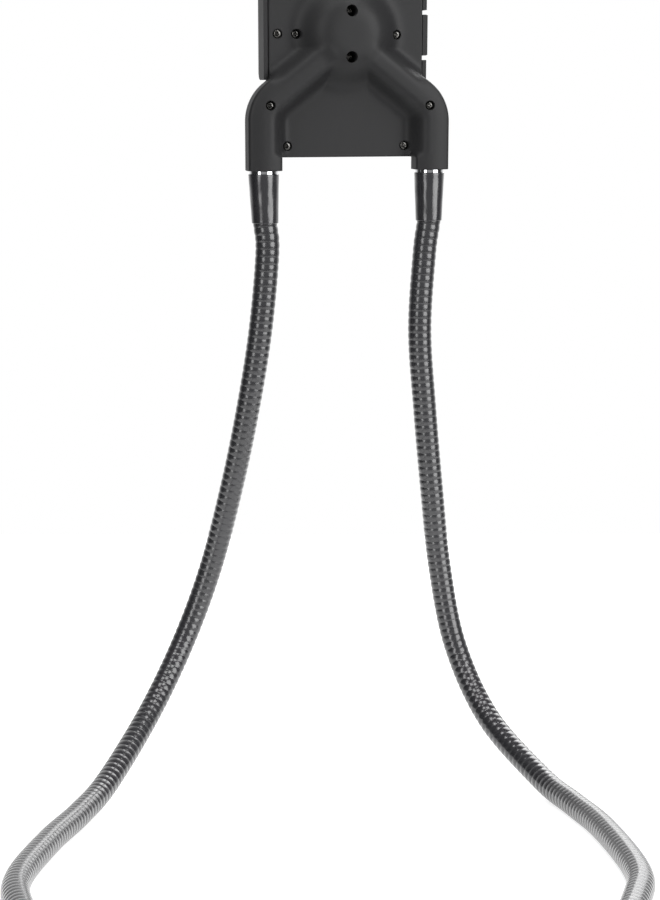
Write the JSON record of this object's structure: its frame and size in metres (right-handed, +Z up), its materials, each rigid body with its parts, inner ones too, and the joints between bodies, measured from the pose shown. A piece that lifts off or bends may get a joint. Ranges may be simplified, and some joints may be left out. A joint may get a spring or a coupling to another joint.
{
  "type": "gooseneck phone stand",
  "caption": "Neck and desk phone stand: bendable goosenecks rise from one loop and carry a flat head with a spring clamp for a phone.",
  "frame": {"origin": "on the table, in the middle of the part's outline seen from above", "axes": "+Z up, +Y from the loop's front towards the phone's side of the head, +X to the right when the head is seen from behind"},
  "size_m": [0.27, 0.378, 0.4369],
  "materials": {
    "case_plastic": "fine matt moulded plastic, charcoal",
    "pad_rubber": "soft matt rubber, black",
    "screw_steel": "bright zinc-plated steel",
    "bright_chrome": "polished chrome plating",
    "sleeve_plastic": "gloss black moulded plastic",
    "hose_plastic": "gloss black ribbed flexible plastic",
    "core_alloy": "dull soft aluminium wire"
  },
  "bodies": {
    "loop": {"neck_loop": "hose_plastic", "loop_core": "core_alloy"},
    "arms": {"left_gooseneck": "hose_plastic", "right_gooseneck": "hose_plastic", "left_core": "core_alloy", "right_core": "core_alloy", "left_lower_bend": "hose_plastic", "right_lower_bend": "hose_plastic", "left_lower_core": "core_alloy", "right_lower_core": "core_alloy"},
    "head": {"back_cover": "case_plastic", "front_cover": "case_plastic", "front_pad": "pad_rubber", "left_elbow_cap": "case_plastic", "right_elbow_cap": "case_plastic", "left_jaw": "case_plastic", "left_jaw_pad": "pad_rubber", "clamp_springs": "screw_steel", "hub_screws": "screw_steel", "cover_screws": "screw_steel", "elbow_screws": "screw_steel", "jaw_screw": "screw_steel", "left_ferrule": "bright_chrome", "right_ferrule": "bright_chrome", "left_sleeve": "sleeve_plastic", "right_sleeve": "sleeve_plastic", "left_upper_bend": "hose_plastic", "right_upper_bend": "hose_plastic", "left_upper_core": "core_alloy", "right_upper_core": "core_alloy"},
    "right_jaw": {"right_jaw": "case_plastic", "right_jaw_pad": "pad_rubber", "guide_rods": "screw_steel", "rod_nuts": "screw_steel"}
  },
  "joints": [
    {"name": "arm_bend", "type": "hinge", "parent": "loop", "child": "arms", "pos_m": [0, 0.137, 0.024], "axis": [1, 0, 0], "range_deg": [-15, 70], "deforming": ["left_lower_bend", "right_lower_bend", "left_lower_core", "right_lower_core"]},
    {"name": "head_tilt", "type": "hinge", "parent": "arms", "child": "head", "pos_m": [0.00758, 0.1498, 0.2625], "axis": [0.9707, 0.2383, 0.0294], "range_deg": [-40, 40], "deforming": ["left_upper_bend", "right_upper_bend", "left_upper_core", "right_upper_core"]},
    {"name": "jaw_slide", "type": "slide", "parent": "head", "child": "right_jaw", "axis": [0.9707, 0.2383, 0.0294], "range_m": [0, 0.032], "stiffness_N_per_m": 120, "springref_m": -0.025, "deforming": ["clamp_springs"]}
  ]
}
